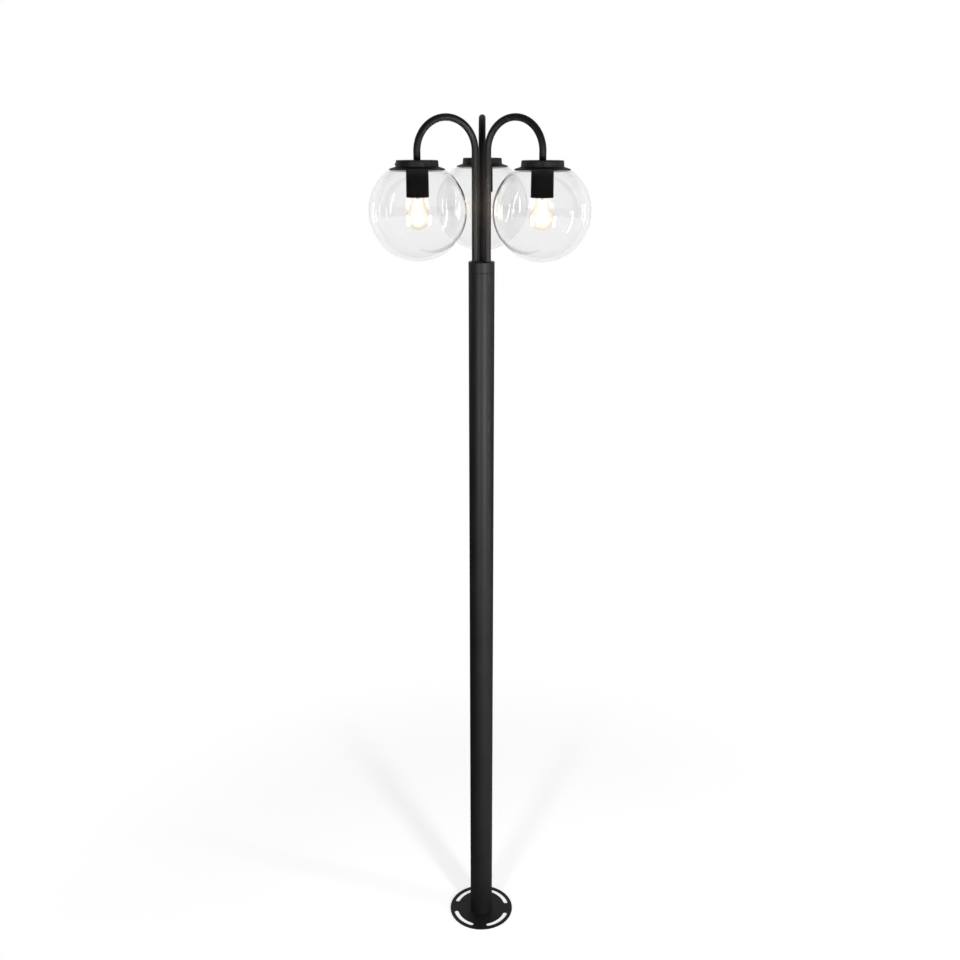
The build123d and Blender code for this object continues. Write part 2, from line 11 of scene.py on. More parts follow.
import bmesh
import bpy
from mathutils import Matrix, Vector


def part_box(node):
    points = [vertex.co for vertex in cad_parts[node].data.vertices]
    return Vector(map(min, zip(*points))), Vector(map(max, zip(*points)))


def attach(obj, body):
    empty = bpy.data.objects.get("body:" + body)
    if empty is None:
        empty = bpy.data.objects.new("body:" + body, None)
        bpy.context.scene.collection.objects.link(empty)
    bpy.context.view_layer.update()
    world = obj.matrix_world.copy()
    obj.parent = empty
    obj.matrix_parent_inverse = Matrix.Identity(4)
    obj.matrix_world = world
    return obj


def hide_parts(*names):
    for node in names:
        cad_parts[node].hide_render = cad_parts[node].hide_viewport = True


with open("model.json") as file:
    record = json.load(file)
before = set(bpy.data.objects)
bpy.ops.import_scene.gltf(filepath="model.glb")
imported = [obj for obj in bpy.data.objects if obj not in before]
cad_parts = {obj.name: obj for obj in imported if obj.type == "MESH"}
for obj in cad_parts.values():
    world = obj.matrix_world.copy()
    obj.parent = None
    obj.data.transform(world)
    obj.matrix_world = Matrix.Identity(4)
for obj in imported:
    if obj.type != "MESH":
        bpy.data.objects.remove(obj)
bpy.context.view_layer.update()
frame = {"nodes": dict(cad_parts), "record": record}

LOG = logging.getLogger("post_light")

MM = 0.001
FULL_TURN = 2 * math.pi
# Mesh corners that lie closer together than this, in metres, are welded.
WELD = 1e-7
# Parts a count of none from a count of one or more.
HALF = 0.5
# A noise pattern keeps mostly between these values.
NOISE_RANGE = {"From Min": 0.3, "From Max": 0.7}
# Sockets of a mix node, by number because their names repeat for each kind of value.
SHARE, VALUE_A, VALUE_B, COLOUR_A, COLOUR_B = 0, 2, 3, 6, 7
MIXED_VALUE, MIXED_COLOUR = 0, 2

Profile = list[tuple[float, float]]
Colour = tuple[float, float, float, float]
Tree = bpy.types.NodeTree
Socket = bpy.types.NodeSocket
Piece = bpy.types.Object


class Lamp(Enum):
    """The three lamps, by the names that the part gives them."""

    LEFT = "left"
    RIGHT = "right"
    BACK = "back"


class Coordinates(Enum):
    """Where a pattern takes its place from."""

    OBJECT = "Object"
    GENERATED = "Generated"


def linear(code: str) -> Colour:
    """Turn an sRGB hex colour into linear light.

    Args:
        code: The colour as "#rrggbb".

    Returns:
        Red, green, blue and a full alpha, in linear light.
    """
    channels = [int(code[i : i + 2], 16) / 255 for i in (1, 3, 5)]
    red, green, blue = [c / 12.92 if c <= 0.04045 else ((c + 0.055) / 1.055) ** 2.4 for c in channels]
    return red, green, blue, 1.0


def per_mm(size: float) -> float:
    """The pattern scale, per metre, whose features are about this many millimetres wide."""
    return 1.0 / (size * MM)


def add_node(
    tree: Tree,
    kind: str,
    settings: dict[str, Any] | None = None,
    links: dict[Any, Any] | None = None,
) -> bpy.types.Node:
    """Add one node, set it up and link its inputs.

    Args:
        tree: The node tree that takes the node.
        kind: The node's type name.
        settings: Attributes of the node.
        links: Inputs by name or number, each a value or the socket that feeds it.

    Returns:
        The new node.
    """
    node = tree.nodes.new(kind)
    for name, value in (settings or {}).items():
        setattr(node, name, value)
    for name, value in (links or {}).items():
        if isinstance(value, Socket):
            tree.links.new(value, node.inputs[name])
        else:
            node.inputs[name].default_value = value
    return node


class Sight:
    """Tells apart, in a shader, rays that look straight at a thing from rays that light or mirror it."""

    def __init__(self, tree: Tree) -> None:
        """Add the ray's history to a node tree.

        Args:
            tree: The node tree to work in.
        """
        path = add_node(tree, "ShaderNodeLightPath")
        known: dict[Any, Any] = {socket.name: socket for socket in path.outputs}
        for name, operation, first, second in (
            ("bounces", "ADD", "Glossy Depth", "Diffuse Depth"),
            ("straight", "LESS_THAN", "bounces", HALF),
            ("looking", "MAXIMUM", "Is Camera Ray", "Is Transmission Ray"),
            ("direct", "MULTIPLY", "looking", "straight"),
            ("mirrored", "GREATER_THAN", "Glossy Depth", HALF),
            ("sharp", "MULTIPLY", "mirrored", "Is Singular Ray"),
            ("soft", "SUBTRACT", "mirrored", "sharp"),
            ("clear", "MAXIMUM", "direct", "sharp"),
        ):
            terms = {0: known.get(first, first), 1: known.get(second, second)}
            known[name] = add_node(tree, "ShaderNodeMath", {"operation": operation}, terms).outputs[0]
        self.direct: Socket = known["direct"]
        self.mirrored: Socket = known["mirrored"]
        self.sharp: Socket = known["sharp"]
        self.soft: Socket = known["soft"]
        self.clear: Socket = known["clear"]


@dataclass(frozen=True)
class Finish:
    """A surface finish that builds one node material; pattern sizes are in millimetres."""

    name: str

    def pattern(self, tree: Tree, size: float, detail: float) -> Socket:
        """Add a noise pattern fixed to the piece.

        Args:
            tree: The material's node tree.
            size: Width of the pattern's features in millimetres.
            detail: Number of finer octaves.

        Returns:
            The noise value from 0 to 1.
        """
        place = add_node(tree, "ShaderNodeTexCoord").outputs[Coordinates.OBJECT.value]
        inputs = {"Vector": place, "Scale": per_mm(size), "Detail": detail}
        return add_node(tree, "ShaderNodeTexNoise", {}, inputs).outputs["Fac"]

    def surface(self, tree: Tree) -> Socket:
        """Build the shader; each finish has its own."""
        raise NotImplementedError

    def build(self) -> bpy.types.Material:
        """Build the material.

        Returns:
            The finished material.
        """
        material = bpy.data.materials.new(self.name)
        material.use_nodes = True
        tree = material.node_tree
        tree.nodes.clear()
        add_node(tree, "ShaderNodeOutputMaterial", {}, {"Surface": self.surface(tree)})
        return material


@dataclass(frozen=True)
class Coated(Finish):
    """A solid opaque finish: paint, moulding, ceramic, rubber or plated metal."""

    dark: str
    light: str
    rough_low: float
    rough_high: float
    mottle: float
    grain: float
    grain_depth: float
    grain_strength: float
    metallic: float = 0.0
    coat: float = 0.0
    coat_roughness: float = 0.1
    specular: float = 0.5

    def surface(self, tree: Tree) -> Socket:
        """Build the shader.

        Args:
            tree: The material's node tree.

        Returns:
            The shader socket.
        """
        cloud = self.pattern(tree, self.mottle, detail=3.0)
        grain = self.pattern(tree, self.grain, detail=2.0)
        share = add_node(tree, "ShaderNodeMapRange", {}, {"Value": cloud, **NOISE_RANGE})
        rough = add_node(
            tree,
            "ShaderNodeMapRange",
            {},
            {"Value": cloud, **NOISE_RANGE, "To Min": self.rough_low, "To Max": self.rough_high},
        )
        colour = add_node(
            tree,
            "ShaderNodeMix",
            {"data_type": "RGBA"},
            {SHARE: share.outputs["Result"], COLOUR_A: linear(self.dark), COLOUR_B: linear(self.light)},
        )
        skin = add_node(
            tree,
            "ShaderNodeBump",
            {},
            {"Height": grain, "Distance": self.grain_depth * MM, "Strength": self.grain_strength},
        )
        shader = add_node(
            tree,
            "ShaderNodeBsdfPrincipled",
            {},
            {
                "Base Color": colour.outputs[MIXED_COLOUR],
                "Roughness": rough.outputs["Result"],
                "Normal": skin.outputs["Normal"],
                "Metallic": self.metallic,
                "Coat Weight": self.coat,
                "Coat Roughness": self.coat_roughness,
                "Specular IOR Level": self.specular,
            },
        )
        return shader.outputs["BSDF"]


@dataclass(frozen=True)
class Glass(Finish):
    """Glass with the slow waves of blowing, which lets lamp light through to what stands behind it."""

    tint: str
    shade: str
    roughness: float
    wave: float
    wave_depth: float
    wave_strength: float
    index: float = 1.5

    def extras(self, tree: Tree) -> dict[str, Any]:
        """Further inputs of the shader; plain glass has none."""
        return {}

    def surface(self, tree: Tree) -> Socket:
        """Build the shader.

        Args:
            tree: The material's node tree.

        Returns:
            The shader socket.
        """
        wave = self.pattern(tree, self.wave, detail=1.0)
        skin = add_node(
            tree,
            "ShaderNodeBump",
            {},
            {"Height": wave, "Distance": self.wave_depth * MM, "Strength": self.wave_strength},
        )
        shader = add_node(
            tree,
            "ShaderNodeBsdfPrincipled",
            {},
            {
                "Base Color": linear(self.tint),
                "Roughness": self.roughness,
                "IOR": self.index,
                "Transmission Weight": 1.0,
                "Normal": skin.outputs["Normal"],
                **self.extras(tree),
            },
        )
        path = add_node(tree, "ShaderNodeLightPath")
        clear = add_node(tree, "ShaderNodeBsdfTransparent", {}, {"Color": linear(self.shade)})
        mixed = add_node(
            tree,
            "ShaderNodeMixShader",
            {},
            {0: path.outputs["Is Shadow Ray"], 1: shader.outputs["BSDF"], 2: clear.outputs["BSDF"]},
        )
        return mixed.outputs["Shader"]


@dataclass(frozen=True)
class LitGlass(Glass):
    """Bulb glass with a painted glow: it emits light of its own, warmer towards the foot, in place of its
    lamp's light scattered in it.
    """

    # Painted glow: the glass's own emission colours, warmer at the foot, the heights between them and the
    # strength.
    glow_foot: str = "#ffe9b8"
    glow_body: str = "#fff6e6"
    glow_low: float = 1756.0
    glow_high: float = 1773.0
    strength: float = 0.045

    def extras(self, tree: Tree) -> dict[str, Any]:
        """Add the painted glow.

        Args:
            tree: The material's node tree.

        Returns:
            The shader's glow inputs.
        """
        place = add_node(tree, "ShaderNodeTexCoord").outputs[Coordinates.OBJECT.value]
        parts = add_node(tree, "ShaderNodeSeparateXYZ", {}, {0: place})
        rise = add_node(
            tree,
            "ShaderNodeMapRange",
            {"interpolation_type": "SMOOTHSTEP"},
            {"Value": parts.outputs["Z"], "From Min": self.glow_low * MM, "From Max": self.glow_high * MM},
        )
        glow = add_node(
            tree,
            "ShaderNodeMix",
            {"data_type": "RGBA"},
            {
                SHARE: rise.outputs["Result"],
                COLOUR_A: linear(self.glow_foot),
                COLOUR_B: linear(self.glow_body),
            },
        )
        return {"Emission Color": glow.outputs[MIXED_COLOUR], "Emission Strength": self.strength}


@dataclass(frozen=True)
class Glowing(Finish):
    """A lit phosphor coating."""

    body: str
    glow_low: str
    glow_high: str
    strength: float
    cell: float
    roughness: float = 0.6

    def surface(self, tree: Tree) -> Socket:
        """Build the shader.

        Args:
            tree: The material's node tree.

        Returns:
            The shader socket.
        """
        spots = self.pattern(tree, self.cell, detail=1.0)
        share = add_node(tree, "ShaderNodeMapRange", {}, {"Value": spots, **NOISE_RANGE})
        glow = add_node(
            tree,
            "ShaderNodeMix",
            {"data_type": "RGBA"},
            {
                SHARE: share.outputs["Result"],
                COLOUR_A: linear(self.glow_low),
                COLOUR_B: linear(self.glow_high),
            },
        )
        shader = add_node(
            tree,
            "ShaderNodeBsdfPrincipled",
            {},
            {
                "Base Color": linear(self.body),
                "Roughness": self.roughness,
                "Emission Color": glow.outputs[MIXED_COLOUR],
                "Emission Strength": self.strength,
            },
        )
        return shader.outputs["BSDF"]


# Polyester powder coat, baked on steel: satin black that breaks highlights softly, with a fine
# orange-peel skin. The real peel is about 0.5 mm wide; 1.2 mm is used so that it shows.
POWDER_COAT = Coated(
    name="powder_coated_steel_satin_black",
    dark="#0c0c0d", light="#121213", rough_low=0.46, rough_high=0.54,
    mottle=60.0, grain=1.2, grain_depth=0.03, grain_strength=0.25,
)
# Blown soda-lime glass: colourless, a little grey at the rims, with slow waves from the blowing.
CLEAR_GLASS = Glass(
    name="blown_soda_lime_glass_clear",
    tint="#fbfbfb", shade="#f4f4f4", roughness=0.0,
    wave=45.0, wave_depth=0.25, wave_strength=0.25,
)
# Blown bulb glass, thin, with the blur that a lit bulb has in the eye and a painted glow of its own.
# The index is below the real 1.5, so that the thin rim stays as pale as it looks beside the glow.
BULB_GLASS = LitGlass(
    name="bulb_glass_satin",
    tint="#fffdf8", shade="#f0ebe0", roughness=0.3, index=1.3,
    wave=20.0, wave_depth=0.05, wave_strength=0.2,
)
# Phenolic moulding, blasted: near black and dead matt, so that it hardly mirrors the lamps.
HOLDER_BLACK = Coated(
    name="phenolic_moulding_matt_black",
    dark="#040404", light="#080808", rough_low=0.85, rough_high=0.95, specular=0.05,
    mottle=15.0, grain=0.9, grain_depth=0.03, grain_strength=0.3,
)
# Glazed porcelain: warm white under a glossy glaze with tiny dimples.
PORCELAIN = Coated(
    name="glazed_porcelain_white",
    dark="#dcd8cc", light="#e8e5dc", rough_low=0.12, rough_high=0.2, coat=0.5,
    mottle=12.0, grain=1.5, grain_depth=0.03, grain_strength=0.2,
)
# Nickel-plated brass: warm bright grey with rolling marks.
NICKEL = Coated(
    name="nickel_plated_brass",
    dark="#b5aea2", light="#cfc8bb", rough_low=0.18, rough_high=0.3, metallic=1.0,
    mottle=5.0, grain=0.5, grain_depth=0.01, grain_strength=0.3,
)
# Vitrite, the black lead glass that parts a bulb's tip from its shell: glossy, with a soft flow.
BLACK_GLASS = Coated(
    name="vitrite_glass_black",
    dark="#0a0a0b", light="#131315", rough_low=0.06, rough_high=0.14,
    mottle=6.0, grain=1.0, grain_depth=0.01, grain_strength=0.2,
)
# Soldered tin on the bulb's tip: bright grey, frozen in small waves.
SOLDER = Coated(
    name="soldered_tin_bright",
    dark="#b4b7b9", light="#d0d2d3", rough_low=0.15, rough_high=0.3, metallic=1.0,
    mottle=3.0, grain=0.8, grain_depth=0.03, grain_strength=0.4,
)
# Zinc-plated steel: bluish grey with cloudy crystals.
ZINC = Coated(
    name="zinc_plated_steel",
    dark="#9aa0a5", light="#b9bec2", rough_low=0.25, rough_high=0.42, metallic=1.0,
    mottle=3.0, grain=0.8, grain_depth=0.01, grain_strength=0.3,
)
# Black-oxide steel: dark oily grey, half bright.
BLACK_STEEL = Coated(
    name="black_oxide_steel",
    dark="#1b1b1c", light="#2b2b2d", rough_low=0.3, rough_high=0.42, metallic=0.6,
    mottle=2.0, grain=0.4, grain_depth=0.01, grain_strength=0.3,
)
# Turned brass: yellow, with fine tool marks.
BRASS = Coated(
    name="turned_brass",
    dark="#a98541", light="#c9a75d", rough_low=0.2, rough_high=0.34, metallic=1.0,
    mottle=2.0, grain=0.4, grain_depth=0.01, grain_strength=0.3,
)
# Moulded EPDM rubber: soft black with a dusty skin.
RUBBER = Coated(
    name="moulded_epdm_rubber",
    dark="#131313", light="#1e1e1e", rough_low=0.6, rough_high=0.75,
    mottle=4.0, grain=0.6, grain_depth=0.02, grain_strength=0.4,
)
# Natural polyamide: ivory, half matt.
POLYAMIDE = Coated(
    name="moulded_polyamide_natural",
    dark="#cfc9b8", light="#dcd7c8", rough_low=0.4, rough_high=0.5,
    mottle=8.0, grain=0.8, grain_depth=0.02, grain_strength=0.3,
)
# Lit phosphor on a filament strip: warm white, a little uneven along its dice.
FILAMENT = Glowing(
    name="lit_phosphor_filament",
    body="#e8c67a", glow_low="#fff4d8", glow_high="#fffaec", strength=26.0, cell=1.6,
)
# Drawn glass of the bulb's stem: clear and sharp, with slight waves.
STEM_GLASS = Glass(
    name="stem_glass_clear",
    tint="#f6f6f2", shade="#f4f4f0", roughness=0.02,
    wave=8.0, wave_depth=0.05, wave_strength=0.2,
)

NODE_FINISHES: dict[str, Finish] = {
    "powder_coat": POWDER_COAT,
    "clear_glass": CLEAR_GLASS,
    "bulb_glass": BULB_GLASS,
    "holder_black": HOLDER_BLACK,
    "porcelain": PORCELAIN,
    "nickel": NICKEL,
    "zinc_steel": ZINC,
    "black_steel": BLACK_STEEL,
    "contact_brass": BRASS,
    "seal_rubber": RUBBER,
    "cable_sheath": RUBBER,
    "terminal_plastic": POLYAMIDE,
    "filament": STEM_GLASS,
}


class Workshop:
    """Builds each finish once and hands out its material."""

    def __init__(self) -> None:
        """Start with an empty shelf."""
        self._made: dict[str, bpy.types.Material] = {}

    def material(self, finish: Finish) -> bpy.types.Material:
        """Give the material of a finish.

        Args:
            finish: The finish to use.

        Returns:
            Its material, built on first use.
        """
        if finish.name not in self._made:
            self._made[finish.name] = finish.build()
        return self._made[finish.name]


def mesh_piece(name: str, points: list[Vector], faces: list[list[int]], sharp: float = 40.0) -> Piece:
    """Make a smooth-shaded mesh object with outward normals.

    Args:
        name: Name of the piece.
        points: Corners in metres.
        faces: Faces as lists of corner numbers.
        sharp: Edges with a larger angle, in degrees, stay crisp.

    Returns:
        The linked object.
    """
    mesh = bpy.data.meshes.new(name)
    mesh.from_pydata(points, [], faces)
    shape = bmesh.new()
    shape.from_mesh(mesh)
    bmesh.ops.remove_doubles(shape, verts=shape.verts, dist=WELD)
    bmesh.ops.recalc_face_normals(shape, faces=shape.faces)
    shape.to_mesh(mesh)
    shape.free()
    mesh.polygons.foreach_set("use_smooth", [True] * len(mesh.polygons))
    mesh.set_sharp_from_angle(angle=math.radians(sharp))
    piece = bpy.data.objects.new(name, mesh)
    bpy.context.scene.collection.objects.link(piece)
    return piece


def turned(
    name: str, outline: Callable[[float], Profile], axis: Vector, segments: int, closed: bool = False
) -> Piece:
    """Turn an outline, which may change on its way, round an upright axis.

    Args:
        name: Name of the piece.
        outline: Gives, for each turn in radians, the radius and height of its points in millimetres.
        axis: A point on the axis, in metres.
        segments: Number of steps round the axis.
        closed: Whether the outline's last point joins its first.

    Returns:
        The turned object.
    """
    points: list[Vector] = []
    for step in range(segments):
        turn = FULL_TURN * step / segments
        way = Vector((math.cos(turn), math.sin(turn), 0.0))
        for radius, height in outline(turn):
            points.append(Vector((axis.x, axis.y, height * MM)) + way * (radius * MM))
    count = len(points) // segments
    spans = count if closed else count - 1
    faces: list[list[int]] = []
    for step in range(segments):
        here = step * count
        there = (step + 1) % segments * count
        for span in range(spans):
            after = (span + 1) % count
            faces.append([here + span, there + span, there + after, here + after])
    return mesh_piece(name, points, faces)


def lathe(name: str, profile: Profile, axis: Vector, segments: int, closed: bool = False) -> Piece:
    """Turn a fixed outline, in millimetres, round an upright axis, in metres."""
    return turned(name, lambda turn: profile, axis, segments, closed)


def arc(centre: tuple[float, float], radius: float, start: float, end: float, steps: int) -> Profile:
    """Points along an arc, none of them beyond the axis.

    Args:
        centre: Radius and height of the arc's centre.
        radius: The arc's own radius.
        start: First angle in degrees.
        end: Last angle in degrees.
        steps: Number of equal steps.

    Returns:
        The points, ends included.
    """
    points: Profile = []
    for step in range(steps + 1):
        turn = math.radians(start + (end - start) * step / steps)
        points.append((max(centre[0] + radius * math.cos(turn), 0.0), centre[1] + radius * math.sin(turn)))
    return points


def eased(before: Profile, after: Profile, trim: int, steps: int = 8, most: float = 0.45) -> Profile:
    """Join two runs of an outline with a soft corner.

    Args:
        before: The first run; its last points are trimmed for the corner.
        after: The second run, which starts at the corner.
        trim: Number of points trimmed from the first run.
        steps: Number of steps in the corner.
        most: Largest share of the second run's first span that the corner takes.

    Returns:
        Both runs with the corner eased between them.
    """
    start = before[-1 - trim]
    corner = after[0]
    share = min(math.dist(start, corner) / math.dist(corner, after[1]), most)
    end = tuple(c + (a - c) * share for c, a in zip(corner, after[1]))
    curve = []
    for step in range(1, steps):
        t = step / steps
        weights = ((1 - t) ** 2, 2 * t * (1 - t), t * t)
        curve.append(tuple(sum(w * p for w, p in zip(weights, place)) for place in zip(start, corner, end)))
    return before[:-trim] + curve + [end] + after[1:]


def dress(piece: Piece, material: bpy.types.Material, body: str) -> Piece:
    """Give a new piece its material, body and slot.

    Args:
        piece: The new piece.
        material: Its material.
        body: The body that it rides on.

    Returns:
        The same piece.
    """
    piece.data.materials.append(material)
    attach(piece, body)
    LOG.info("piece %s on %s", piece.name, body)
    return piece


@dataclass
class GlassGlobe:
    """One blown globe, sized in millimetres."""

    lamp: Lamp
    shop: Workshop
    ball_radius: float = 100.0
    wall: float = 2.0
    shoulder_radius: float = 58.0
    shoulder_slope: float = 18.0
    shoulder_trim: int = 2
    neck_radius: float = 39.0
    lip_overhang: float = 1.4
    lip_height: float = 2.2
    lip_round: float = 0.6
    ball_steps: int = 90
    lip_steps: int = 4
    segments: int = 144

    def skin(self, inset: float, foot: float, neck_top: float) -> Profile:
        """One surface of the glass from its foot to its neck.

        Args:
            inset: Distance inside the outer surface.
            foot: Height of the outer foot.
            neck_top: Height where the straight neck ends.

        Returns:
            The outline points.
        """
        middle = foot + self.ball_radius
        slope = math.tan(math.radians(self.shoulder_slope))
        lift = math.sqrt(self.ball_radius**2 - self.shoulder_radius**2)
        apex = lift + self.shoulder_radius * slope - inset / math.cos(math.radians(self.shoulder_slope))
        radius = self.ball_radius - inset
        half = apex * slope / (1 + slope**2)
        start = half + math.sqrt(half**2 - (apex**2 - radius**2) / (1 + slope**2))
        end = math.degrees(math.acos(start / radius))
        neck = self.neck_radius - inset
        ball = arc((0.0, middle), radius, -90.0, end, self.ball_steps)
        shoulder = [(place, middle + apex - place * slope) for place in (start, neck)]
        return eased(ball, shoulder + [(neck, neck_top)], self.shoulder_trim)

    def build(self) -> Piece:
        """Build the globe in place of its plain solid.

        Returns:
            The glass piece.
        """
        node = f"globe_{self.lamp.value}"
        low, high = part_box(node)
        axis = (low + high) / 2
        foot, top = low.z / MM, high.z / MM
        lip_foot = top - self.lip_height
        edge = self.lip_round
        corner = self.neck_radius + self.lip_overhang - edge
        rim = arc((corner, lip_foot + edge), edge, -90.0, 0.0, self.lip_steps)
        rim += arc((corner, top - edge), edge, 0.0, 90.0, self.lip_steps)
        inner = self.skin(self.wall, foot, top)
        profile = self.skin(0.0, foot, lip_foot) + rim + inner[::-1]
        piece = lathe(f"glass_{node}", profile, axis, self.segments)
        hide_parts(node)
        return dress(piece, self.shop.material(CLEAR_GLASS), "post")


@dataclass
class Bulb:
    """One lit screw-in filament bulb, sized in millimetres."""

    lamp: Lamp
    shop: Workshop
    diameter: float = 50.0
    wall: float = 0.8
    neck_diameter: float = 24.8
    neck_rise: float = 40.0
    filament_diameter: float = 1.8
    phosphor: float = 0.1
    filament_foot: float = 0.8
    filament_height: float = 44.0
    top_circle: float = 9.0
    foot_circle: float = 17.0
    filament_count: int = 4
    light_power: float = 0.12
    light_colour: str = "#ffc06a"
    ball_steps: int = 48
    flank_steps: int = 24
    segments: int = 96
    strip_steps: int = 6
    strip_segments: int = 20

    @property
    def body(self) -> str:
        """The body that the bulb turns with."""
        return f"bulb_{self.lamp.value}"

    def skin(self, inset: float, middle: float, top: float) -> Profile:
        """One surface of the bulb glass from its foot to the neck.

        Args:
            inset: Distance inside the outer surface.
            middle: Height of the widest place.
            top: Height of the neck's end.

        Returns:
            The outline points.
        """
        ball, neck = self.diameter / 2, self.neck_diameter / 2
        waist = (neck**2 + self.neck_rise**2 - ball**2) / (2 * (ball - neck))
        touch = math.degrees(math.atan2(self.neck_rise, neck + waist))
        foot = arc((0.0, middle), ball - inset, -90.0, touch, self.ball_steps)
        hollow = (neck + waist, middle + self.neck_rise)
        flank = arc(hollow, waist + inset, 180.0 + touch, 180.0, self.flank_steps)
        return foot + flank[1:] + [(neck - inset, top)]

    def glass(self) -> Piece:
        """Build the pear-shaped glass.

        Returns:
            The glass piece.
        """
        node = f"bulb_glass_{self.lamp.value}"
        low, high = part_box(node)
        middle, top = low.z / MM + self.diameter / 2, high.z / MM
        profile = self.skin(0.0, middle, top) + self.skin(self.wall, middle, top)[::-1]
        piece = lathe(f"pear_{node}", profile, (low + high) / 2, self.segments)
        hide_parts(node)
        return dress(piece, self.shop.material(BULB_GLASS), self.body)

    def filaments(self) -> None:
        """Build the lit filament strips over the plain stem."""
        low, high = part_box(f"filament_mount_{self.lamp.value}")
        axis = (low + high) / 2
        foot_z = low.z + self.filament_foot * MM
        top_z = foot_z + self.filament_height * MM
        radius = self.filament_diameter / 2 + self.phosphor
        for index in range(self.filament_count):
            turn = math.pi * (2 * index + 1) / self.filament_count
            way = Vector((math.cos(turn), math.sin(turn), 0.0))
            foot = Vector((axis.x, axis.y, foot_z)) + way * (self.foot_circle / 2 * MM)
            top = Vector((axis.x, axis.y, top_z)) + way * (self.top_circle / 2 * MM)
            length = (top - foot).length / MM
            profile = arc((0.0, radius), radius, -90.0, 0.0, self.strip_steps)
            profile += arc((0.0, length - radius), radius, 0.0, 90.0, self.strip_steps)
            name = f"filament_{self.lamp.value}_{index + 1}"
            strip = lathe(name, profile, Vector(), self.strip_segments)
            strip.rotation_mode = "QUATERNION"
            strip.rotation_quaternion = Vector((0, 0, 1)).rotation_difference(top - foot)
            strip.location = foot
            dress(strip, self.shop.material(FILAMENT), self.body)

    def light(self) -> None:
        """Add the warm light that the bulb throws on the painted metal round it."""
        low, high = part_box(f"filament_mount_{self.lamp.value}")
        data = bpy.data.lights.new(f"warm_light_{self.lamp.value}", "POINT")
        data.energy = self.light_power
        data.color = linear(self.light_colour)[:3]
        data.shadow_soft_size = 0.0
        light = bpy.data.objects.new(data.name, data)
        light.location = (low + high) / 2
        light.visible_transmission = False
        bpy.context.scene.collection.objects.link(light)

    def build(self) -> None:
        """Build the bulb's glass and filaments, and light it."""
        self.glass()
        self.filaments()
        self.light()


@dataclass(frozen=True)
class ScrewThread:
    """The rolled right-hand thread of a 27 mm bulb, sized in millimetres.

    The bulb's and the lampholder's threads share their pitch and phase, so they stay clear of each other
    while the bulb turns out.
    """

    crest: float
    foot: float
    top: float
    sinks: bool
    depth: float = 1.0
    run: float = 2.0
    pitch: float = 3.629
    fineness: float = 0.36

    def radius(self, turn: float, height: float) -> float:
        """Radius of the threaded face at one place.

        Args:
            turn: Direction from the axis in radians.
            height: Height of the place.

        Returns:
            The radius, from the crest in to the root.
        """
        valley = (1 - math.cos(FULL_TURN * height / self.pitch - turn)) / 2
        start = min(max((height - self.foot) / self.run, 0.0), 1.0)
        end = min(max((self.top - height) / self.run, 0.0), 1.0)
        share = 1 - (1 - valley * start) * end if self.sinks else valley * start * end
        return self.crest - self.depth * share

    def sheet(self, turn: float, foot: float, top: float, wall: float) -> Profile:
        """Outline of the threaded sheet.

        Args:
            turn: Direction from the axis in radians.
            foot: Height of the sheet's lower edge.
            top: Height of its upper edge.
            wall: Distance from the threaded face out to the back, below 0 for a back on its inside.

        Returns:
            The threaded face upwards, then the back downwards.
        """
        count = round((top - foot) / self.fineness)
        heights = [foot + (top - foot) * step / count for step in range(count + 1)]
        face = [(self.radius(turn, height), height) for height in heights]
        return face + [(radius + wall, height) for radius, height in reversed(face)]


@dataclass
class ScrewCap:
    """The bulb's screw cap in millimetres: a rolled shell, a black glass insulator and a soldered tip."""

    lamp: Lamp
    shop: Workshop
    radius: float = 13.1
    wall: float = 0.5
    rim: float = 5.0
    shell_length: float = 21.0
    insulator_radius: float = 8.0
    insulator_wall: float = 1.0
    tip_radius: float = 4.6
    tip_height: float = 2.5
    tip_round: float = 1.2
    tip_steps: int = 6
    fit: float = 0.1
    segments: int = 60

    def build(self) -> None:
        """Build the cap in place of its plain solid."""
        node = f"bulb_cap_{self.lamp.value}"
        body = f"bulb_{self.lamp.value}"
        low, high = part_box(node)
        axis = (low + high) / 2
        foot, face = low.z / MM, high.z / MM
        shell_top = foot + self.shell_length
        thread = ScrewThread(self.radius, foot + self.rim, shell_top, sinks=True)
        shell = turned(
            f"screw_{node}",
            lambda turn: thread.sheet(turn, foot, shell_top, -self.wall),
            axis,
            self.segments,
            closed=True,
        )
        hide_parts(node)
        dress(shell, self.shop.material(NICKEL), body)
        tip_foot = face - self.tip_height
        inside = tip_foot - self.insulator_wall
        mouth = self.radius - thread.depth - self.wall - self.fit
        hole = self.tip_radius - self.fit
        cone = [(mouth, shell_top - self.insulator_wall), (mouth, shell_top)]
        cone += [(self.insulator_radius, tip_foot), (hole, tip_foot)]
        cone += [(hole, inside), (self.insulator_radius, inside)]
        insulator = lathe(f"insulator_{node}", cone, axis, self.segments, closed=True)
        dress(insulator, self.shop.material(BLACK_GLASS), body)
        plug = hole - self.fit
        seat = tip_foot + self.fit
        button = [(0.0, inside), (plug, inside), (plug, seat), (self.tip_radius, seat)]
        rounding = (self.tip_radius - self.tip_round, face - self.tip_round)
        button += arc(rounding, self.tip_round, 0.0, 90.0, self.tip_steps)
        tip = lathe(f"tip_{node}", button + [(0.0, face)], axis, self.segments)
        dress(tip, self.shop.material(SOLDER), body)


